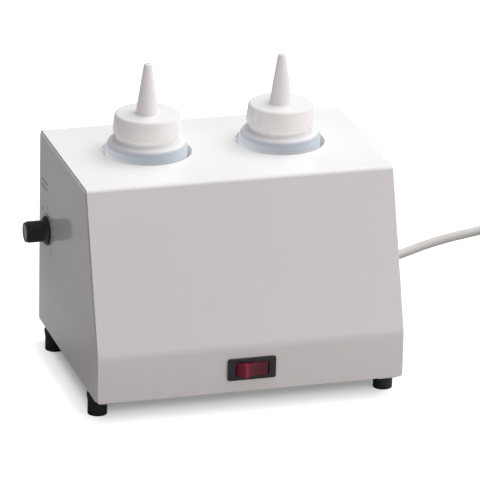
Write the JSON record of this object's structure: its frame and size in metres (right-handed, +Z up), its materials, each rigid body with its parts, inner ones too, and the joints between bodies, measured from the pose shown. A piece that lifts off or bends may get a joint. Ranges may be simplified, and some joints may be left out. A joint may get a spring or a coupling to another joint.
{
  "type": "bottle warmer",
  "caption": "Sheet-metal bottle warmer with a sloping front, rocker switch, side thermostat knob, rubber feet, mains cable and capped squeeze bottles in heated cups.",
  "frame": {"origin": "under the middle of the housing, on the surface the feet stand on", "axes": "+X to the user's right, +Y to the back, +Z up; the sloping front faces -Y"},
  "size_m": [0.423, 0.2512, 0.212],
  "materials": {
    "painted_steel": "satin powder coat, warm light grey",
    "galvanised_steel": "galvanised, spangled",
    "zinc_fasteners": "bright zinc",
    "black_rubber": "matte",
    "silicone_pad": "matte",
    "spun_aluminium": "satin",
    "heater_steel": "satin",
    "glass_fibre": "woven sleeve",
    "clear_polyethylene": "translucent",
    "milky_cap_plastic": "milky, glossy",
    "foam_seal": "matte",
    "black_plastic": "fine grain",
    "grey_knob_cap": "satin",
    "red_rocker_plastic": "translucent red, glossy",
    "lamp_glass": "clear",
    "white_plastic": "satin",
    "brass_contacts": "bright",
    "phenolic_brown": "moulded",
    "steel_spindle": "turned",
    "copper_sensor": "bright",
    "fuse_ceramic": "matte",
    "cable_grey": "smooth sheath",
    "wire_brown": "smooth",
    "wire_blue": "smooth",
    "wire_green_yellow": "striped"
  },
  "bodies": {
    "housing": {"base_nuts_and_washer": "zinc_fasteners", "base_plate": "galvanised_steel", "base_screws": "zinc_fasteners", "cover_screws": "zinc_fasteners", "cup_bracket": "galvanised_steel", "cup_nuts_and_washers": "zinc_fasteners", "cup_pad_left": "silicone_pad", "cup_pad_right": "silicone_pad", "earth_lug": "zinc_fasteners", "folded_cover": "painted_steel", "foot_back_left": "black_rubber", "foot_back_right": "black_rubber", "foot_front_left": "black_rubber", "foot_front_right": "black_rubber", "foot_rivet_nuts": "zinc_fasteners", "foot_screws_and_washers": "zinc_fasteners", "gland_body": "black_plastic", "gland_dome_nut": "black_plastic", "gland_lock_nut": "black_plastic", "heater_band_left": "heater_steel", "heater_band_right": "heater_steel", "heater_clamp_fasteners": "zinc_fasteners", "insulation_left": "glass_fibre", "insulation_right": "glass_fibre", "mains_cable": "cable_grey", "plug_body": "white_plastic", "plug_pins_and_earth_strips": "brass_contacts", "sensor_bulb_and_capillary": "copper_sensor", "sensor_clips": "zinc_fasteners", "side_panel_left": "painted_steel", "side_panel_right": "painted_steel", "switch_housing": "black_plastic", "switch_terminals": "brass_contacts", "terminal_block": "white_plastic", "terminal_clamps_and_screws": "brass_contacts", "thermal_fuse": "fuse_ceramic", "thermostat_body": "phenolic_brown", "thermostat_nut": "zinc_fasteners", "thermostat_plate": "zinc_fasteners", "thermostat_terminals": "brass_contacts", "warming_cup_left": "spun_aluminium", "warming_cup_right": "spun_aluminium", "wire_earth": "wire_green_yellow", "wires_live": "wire_brown", "wires_neutral": "wire_blue"},
    "rocker": {"rocker": "red_rocker_plastic", "neon_lamp": "lamp_glass", "switch_plunger": "white_plastic"},
    "contact_lever": {"contact_lever": "brass_contacts"},
    "knob": {"knob_body": "black_plastic", "knob_collet": "brass_contacts", "knob_cap": "grey_knob_cap", "thermostat_spindle": "steel_spindle"},
    "bottle_left": {"bottle_left": "clear_polyethylene"},
    "bottle_right": {"bottle_right": "clear_polyethylene"},
    "cap_carrier_left": {"cap_seal_left": "foam_seal"},
    "cap_carrier_right": {"cap_seal_right": "foam_seal"},
    "cap_left": {"bottle_cap_left": "milky_cap_plastic"},
    "cap_right": {"bottle_cap_right": "milky_cap_plastic"}
  },
  "joints": [
    {"name": "rocker_tilt", "type": "hinge", "parent": "housing", "child": "rocker", "pos_m": [0, -0.0741, 0.0314], "axis": [0, 0, 1], "range_deg": [-25, 0]},
    {"name": "contact_rock", "type": "hinge", "parent": "housing", "child": "contact_lever", "pos_m": [0, -0.06435, 0.0314], "axis": [0, 0, 1], "range_deg": [0, 14]},
    {"name": "knob_turn", "type": "hinge", "parent": "housing", "child": "knob", "pos_m": [-0.105, 0.0545, 0.0875], "axis": [1, 0, 0], "range_deg": [0, 270]},
    {"name": "bottle_left_lift", "type": "slide", "parent": "housing", "child": "bottle_left", "axis": [0, 0, 1], "range_m": [0, 0.14]},
    {"name": "cap_left_rise", "type": "slide", "parent": "bottle_left", "child": "cap_carrier_left", "axis": [0, 0, 1], "range_m": [0, 0.00635]},
    {"name": "cap_left_unscrew", "type": "hinge", "parent": "cap_carrier_left", "child": "cap_left", "pos_m": [-0.046, 0.0215, 0.178], "axis": [0, 0, 1], "range_deg": [0, 540]},
    {"name": "bottle_right_lift", "type": "slide", "parent": "housing", "child": "bottle_right", "axis": [0, 0, 1], "range_m": [0, 0.14]},
    {"name": "cap_right_rise", "type": "slide", "parent": "bottle_right", "child": "cap_carrier_right", "axis": [0, 0, 1], "range_m": [0, 0.00635]},
    {"name": "cap_right_unscrew", "type": "hinge", "parent": "cap_carrier_right", "child": "cap_right", "pos_m": [0.046, 0.0215, 0.178], "axis": [0, 0, 1], "range_deg": [0, 540]}
  ],
  "couplings": [
    {"joint": "contact_rock", "follows": "rocker_tilt", "ratio": -0.56},
    {"joint": "cap_left_rise", "follows": "cap_left_unscrew", "m_per_rad": 0.00067323},
    {"joint": "cap_right_rise", "follows": "cap_right_unscrew", "m_per_rad": 0.00067323}
  ]
}
